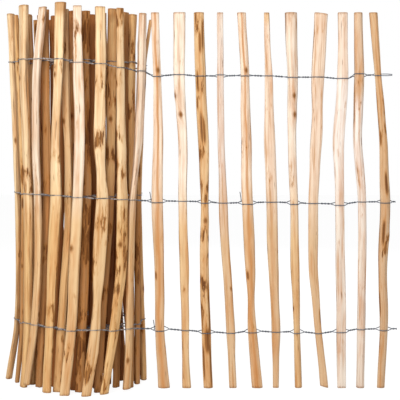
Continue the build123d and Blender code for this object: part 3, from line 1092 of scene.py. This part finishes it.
def smooth_path(points, parts=2):
    """A smooth line through all points, with each run cut in parts."""
    line = []
    last = len(points) - 1
    for index in range(last):
        p0, p1 = points[max(index - 1, 0)], points[index]
        p2, p3 = points[index + 1], points[min(index + 2, last)]
        for part in range(parts):
            t = part / parts
            line.append(0.5 * (
                2 * p1 + (p2 - p0) * t + (2 * p0 - 5 * p1 + 4 * p2 - p3) * t * t
                + (3 * p1 - p0 - 3 * p2 + p3) * t * t * t
            ))
    return line + [points[-1]]


def wire_piece(node, lines, radius):
    """Round wires along some lines, as one piece in place of a node."""
    name = f"zinc_{node}"
    curve = bpy.data.curves.new(name, "CURVE")
    curve.dimensions = "3D"
    curve.bevel_depth = radius
    curve.bevel_resolution = 1
    curve.use_fill_caps = True
    for line in lines:
        spline = curve.splines.new("POLY")
        spline.points.add(len(line) - 1)
        for point, place in zip(spline.points, line):
            point.co = (*place, 1.0)
    holder = add_object(f"{name}_line", curve)
    bpy.context.view_layer.update()
    mesh = bpy.data.meshes.new_from_object(holder)
    bpy.data.objects.remove(holder)
    mesh.name = name
    for polygon in mesh.polygons:
        polygon.use_smooth = True
    put_in_place(add_object(name, mesh), node, [shared("dull_zinc", wire_material)])


class HAZEL_OT_stretch_pickets(bpy.types.Operator):
    """Builds the pickets of the unrolled stretch"""

    bl_idname = "hazel.stretch_pickets"
    bl_label = "Stretch pickets"

    def execute(self, context):
        build_pickets("stretch_picket")
        return {"FINISHED"}


class HAZEL_OT_roll_pickets(bpy.types.Operator):
    """Builds the pickets of the standing roll, turn by turn"""

    bl_idname = "hazel.roll_pickets"
    bl_label = "Roll pickets"

    def execute(self, context):
        for start in ("outer_turn", "second_turn", "third_turn", "inner_turn"):
            build_pickets(start)
        return {"FINISHED"}


class HAZEL_OT_strand_wires(bpy.types.Operator):
    """Builds the six wires of the three strands"""

    bl_idname = "hazel.strand_wires"
    bl_label = "Strand wires"

    def execute(self, context):
        settings = context.scene.hazel_wires
        for name in STRANDS:
            paths = strand_paths(name)
            for letter, partner in (("a", 1), ("b", -1)):
                wire_piece(f"{name}_wire_{letter}", [smooth_path(paths[partner])], settings.diameter / 2)
        return {"FINISHED"}


class HAZEL_OT_splice_tails(bpy.types.Operator):
    """Builds the ends of spliced wires that stand up beside pickets"""

    bl_idname = "hazel.splice_tails"
    bl_label = "Splice tails"

    def execute(self, context):
        settings = context.scene.hazel_wires
        radius = settings.diameter / 2
        lines = []
        for corners in islands("splice_tails"):
            foot = min(corner.z for corner in corners) + SPLICE_FOOT
            head = max(corner.z for corner in corners) + SPLICE_TIP
            edge = max(corner.x for corner in corners) - radius
            start = min(corner.x for corner in corners)
            depth = sum(corner.y for corner in corners) / len(corners)
            lean = (head - foot) * 0.12
            lines.append([
                Vector((start, depth, foot + radius)),
                Vector((edge - radius, depth, foot + radius * 1.5)),
                Vector((edge, depth, foot + 3 * radius)),
                Vector((edge - lean * 0.3, depth, (foot + head) / 2)),
                Vector((edge - lean, depth, head)),
            ])
        wire_piece("splice_tails", [smooth_path(line, 4) for line in lines], radius)
        return {"FINISHED"}


class HAZEL_OT_stage(bpy.types.Operator):
    """Sets up the white floor, the soft lights and the camera"""

    bl_idname = "hazel.stage"
    bl_label = "Studio stage"

    def execute(self, context):
        stage = context.scene.hazel_stage
        build_floor()
        build_lights(stage)
        build_camera(context, stage)
        return {"FINISHED"}


def build_floor():
    """A large pale floor whose white is for the eye and for reflections, and which keeps the shadow."""
    bm = bmesh.new()
    bmesh.ops.create_grid(bm, x_segments=1, y_segments=1, size=FLOOR_REACH)
    floor = mesh_object("studio_floor", bm)
    material, kit, shader = new_material("studio_white")
    kit.feed(shader, {"Base Color": (0.82, 0.82, 0.82, 1.0), "Roughness": 0.9, "Specular IOR Level": 0.0})
    glow = kit.add("ShaderNodeEmission", {"Color": (1.0, 1.0, 1.0, 1.0), "Strength": 1.12})
    share = kit.times(kit.seen(), 0.82)
    both = kit.add("ShaderNodeMixShader", {0: share, 1: shader.outputs[0], 2: glow.outputs[0]})
    kit.feed(kit.nodes["Material Output"], {"Surface": both.outputs[0]})
    floor.data.materials.append(material)


def place_and_aim(holder, place, aim):
    """Puts a lamp or a camera in its place and turns it to what it aims at."""
    holder.location = place
    holder.rotation_euler = (aim - holder.location).to_track_quat("-Z", "Y").to_euler()


def build_lights(stage):
    """Large soft lights in front and behind, and an even light from all round."""
    for name, place, power in (
        ("front_softbox", FRONT_SOFTBOX, stage.key),
        ("back_softbox", BACK_SOFTBOX, stage.key * stage.back),
    ):
        lamp = bpy.data.lights.new(name, "AREA")
        lamp.shape = "RECTANGLE"
        lamp.size, lamp.size_y = SOFTBOX_SIZE
        lamp.energy = power
        place_and_aim(add_object(name, lamp), place, SOFTBOX_AIM)
    world = bpy.data.worlds.new("studio_sky")
    world.use_nodes = True
    kit = NodeTree(world.node_tree)
    strength = kit.plus(stage.fill, kit.times(kit.seen(), 1.0 - stage.fill))
    kit.feed(kit.nodes["Background"], {"Color": (1.0, 1.0, 1.0, 1.0), "Strength": strength})
    bpy.context.scene.world = world


def build_camera(context, stage):
    """A camera square to the stretch, a little above its middle."""
    low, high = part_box("stretch_picket_06")
    plane = (low.y + high.y) / 2
    camera = bpy.data.cameras.new("fence_camera")
    camera.sensor_width = SENSOR_WIDTH
    camera.lens = SENSOR_WIDTH * stage.distance / stage.view_width
    camera.clip_end = CAMERA_REACH
    holder = add_object("fence_camera", camera)
    place = (stage.centre_x, plane - stage.distance, stage.centre_z + stage.rise)
    place_and_aim(holder, place, Vector((stage.centre_x, plane, stage.centre_z)))
    context.scene.camera = holder
    context.scene.view_settings.view_transform = "Standard"


class HAZEL_PT_fence(bpy.types.Panel):
    """Lists the fence's settings and steps"""

    bl_label = "Hazel Fence"
    bl_space_type = "VIEW_3D"
    bl_region_type = "UI"
    bl_category = "Hazel Fence"

    def draw(self, context):
        layout = self.layout
        for setting in SETTINGS:
            group = getattr(context.scene, setting)
            box = layout.box()
            for name in group.bl_rna.properties.keys():
                if name not in ("rna_type", "name"):
                    box.prop(group, name)
        for operator in OPERATORS:
            layout.operator(operator.bl_idname)


OPERATORS = (
    HAZEL_OT_stage,
    HAZEL_OT_stretch_pickets,
    HAZEL_OT_roll_pickets,
    HAZEL_OT_strand_wires,
    HAZEL_OT_splice_tails,
)
SETTINGS = {
    "hazel_rods": RodSettings,
    "hazel_finish": FinishSettings,
    "hazel_wires": WireSettings,
    "hazel_stage": StageSettings,
}
CLASSES = (*SETTINGS.values(), *OPERATORS, HAZEL_PT_fence)


def register():
    for item in CLASSES:
        bpy.utils.register_class(item)
    for name, group in SETTINGS.items():
        setattr(bpy.types.Scene, name, PointerProperty(type=group))


def unregister():
    for name in SETTINGS:
        delattr(bpy.types.Scene, name)
    for item in reversed(CLASSES):
        bpy.utils.unregister_class(item)


def main():
    register()
    bpy.ops.hazel.stage()
    bpy.ops.hazel.stretch_pickets()
    bpy.ops.hazel.roll_pickets()
    bpy.ops.hazel.strand_wires()
    bpy.ops.hazel.splice_tails()


if __name__ == "__main__":
    main()
